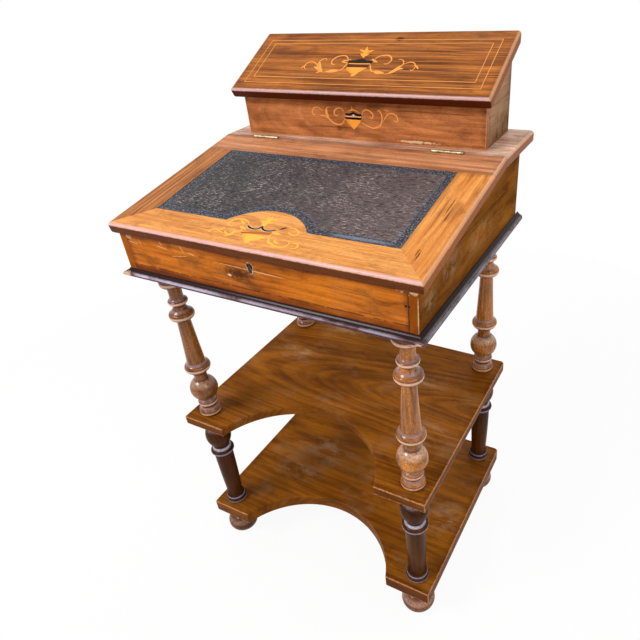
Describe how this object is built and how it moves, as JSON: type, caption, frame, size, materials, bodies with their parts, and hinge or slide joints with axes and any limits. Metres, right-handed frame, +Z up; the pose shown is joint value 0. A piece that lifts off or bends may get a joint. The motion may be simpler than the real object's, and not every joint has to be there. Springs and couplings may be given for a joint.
{
  "type": "davenport desk",
  "caption": "Davenport desk: sloping leather-topped writing box with a stationery box, on two recessed shelves, turned columns and bun feet.",
  "frame": {"origin": "on the floor under the middle of the desk's overall box", "axes": "+Z up, front towards -Y, +X to the right of someone facing the front"},
  "size_m": [0.533, 0.4524, 0.9519],
  "materials": {
    "boxwood": "boxwood line, polished",
    "brass": "aged brass",
    "brass_screw": "aged brass",
    "case_walnut": "glossy french-polished walnut, orange brown with dark grain",
    "ebonised_moulding": "worn ebonised wood",
    "inner_wood": "plain inside wood, oiled",
    "lock_steel": "plain steel",
    "rail_walnut": "lighter honey walnut, polished",
    "shelf_walnut": "worn polished walnut",
    "steel_screw": "plain steel",
    "stile_walnut": "polished walnut, grain running with the piece",
    "turned_foot": "turned walnut, worn",
    "turned_lower": "turned and polished walnut, darker",
    "turned_upper": "turned and polished walnut",
    "writing_leather": "worn dark writing leather"
  },
  "bodies": {
    "desk": {"box_front": "case_walnut", "box_side_left": "case_walnut", "box_side_right": "case_walnut", "box_back": "case_walnut", "box_bottom": "inner_wood", "moulding_front": "ebonised_moulding", "moulding_left": "ebonised_moulding", "moulding_right": "ebonised_moulding", "fixed_top_strip": "case_walnut", "keyhole_escutcheon": "brass", "lock_case": "lock_steel", "lock_screws": "steel_screw", "hinge_strip_leaf_left": "brass", "hinge_pin_left": "brass", "hinge_strip_leaf_right": "brass", "hinge_pin_right": "brass", "strip_hinge_screws": "brass_screw", "stationery_front": "case_walnut", "stationery_back": "case_walnut", "stationery_side_left": "case_walnut", "stationery_side_right": "case_walnut", "stationery_bottom": "inner_wood", "stationery_divider_left": "inner_wood", "stationery_divider_right": "inner_wood", "stationery_box_leaves": "brass", "stationery_hinge_pins": "brass", "stationery_box_screws": "brass_screw", "middle_shelf": "shelf_walnut", "bottom_shelf": "shelf_walnut", "upper_column_front_left": "turned_upper", "lower_column_front_left": "turned_lower", "bun_foot_front_left": "turned_foot", "upper_column_front_right": "turned_upper", "lower_column_front_right": "turned_lower", "bun_foot_front_right": "turned_foot", "upper_column_back_left": "turned_upper", "lower_column_back_left": "turned_lower", "bun_foot_back_left": "turned_foot", "upper_column_back_right": "turned_upper", "lower_column_back_right": "turned_lower", "bun_foot_back_right": "turned_foot"},
    "writing_lid": {"lid_front_rail": "rail_walnut", "lid_stile_left": "stile_walnut", "lid_stile_right": "stile_walnut", "lid_back_rail": "stile_walnut", "lid_panel": "inner_wood", "writing_leather": "writing_leather", "lid_strike_plate": "brass", "lid_strike_screws": "steel_screw", "hinge_lid_leaf_left": "brass", "hinge_lid_leaf_right": "brass", "lid_hinge_screws": "brass_screw"},
    "stationery_lid": {"stationery_lid_board": "case_walnut", "stationery_lid_lines": "boxwood", "stationery_lid_leaves": "brass", "stationery_lid_screws": "brass_screw"},
    "lock_bolt": {"lock_bolt": "lock_steel"}
  },
  "joints": [
    {"name": "writing_lid_hinge", "type": "hinge", "parent": "desk", "child": "writing_lid", "pos_m": [0, 0.07645, 0.804], "axis": [-1, 0, 0], "range_deg": [0, 99]},
    {"name": "stationery_lid_hinge", "type": "hinge", "parent": "desk", "child": "stationery_lid", "pos_m": [0, 0.21195, 0.93264], "axis": [-1, 0, 0], "range_deg": [0, 120]},
    {"name": "lock_bolt_throw", "type": "slide", "parent": "desk", "child": "lock_bolt", "axis": [0, 0, 1], "range_m": [0, 0.006]}
  ]
}
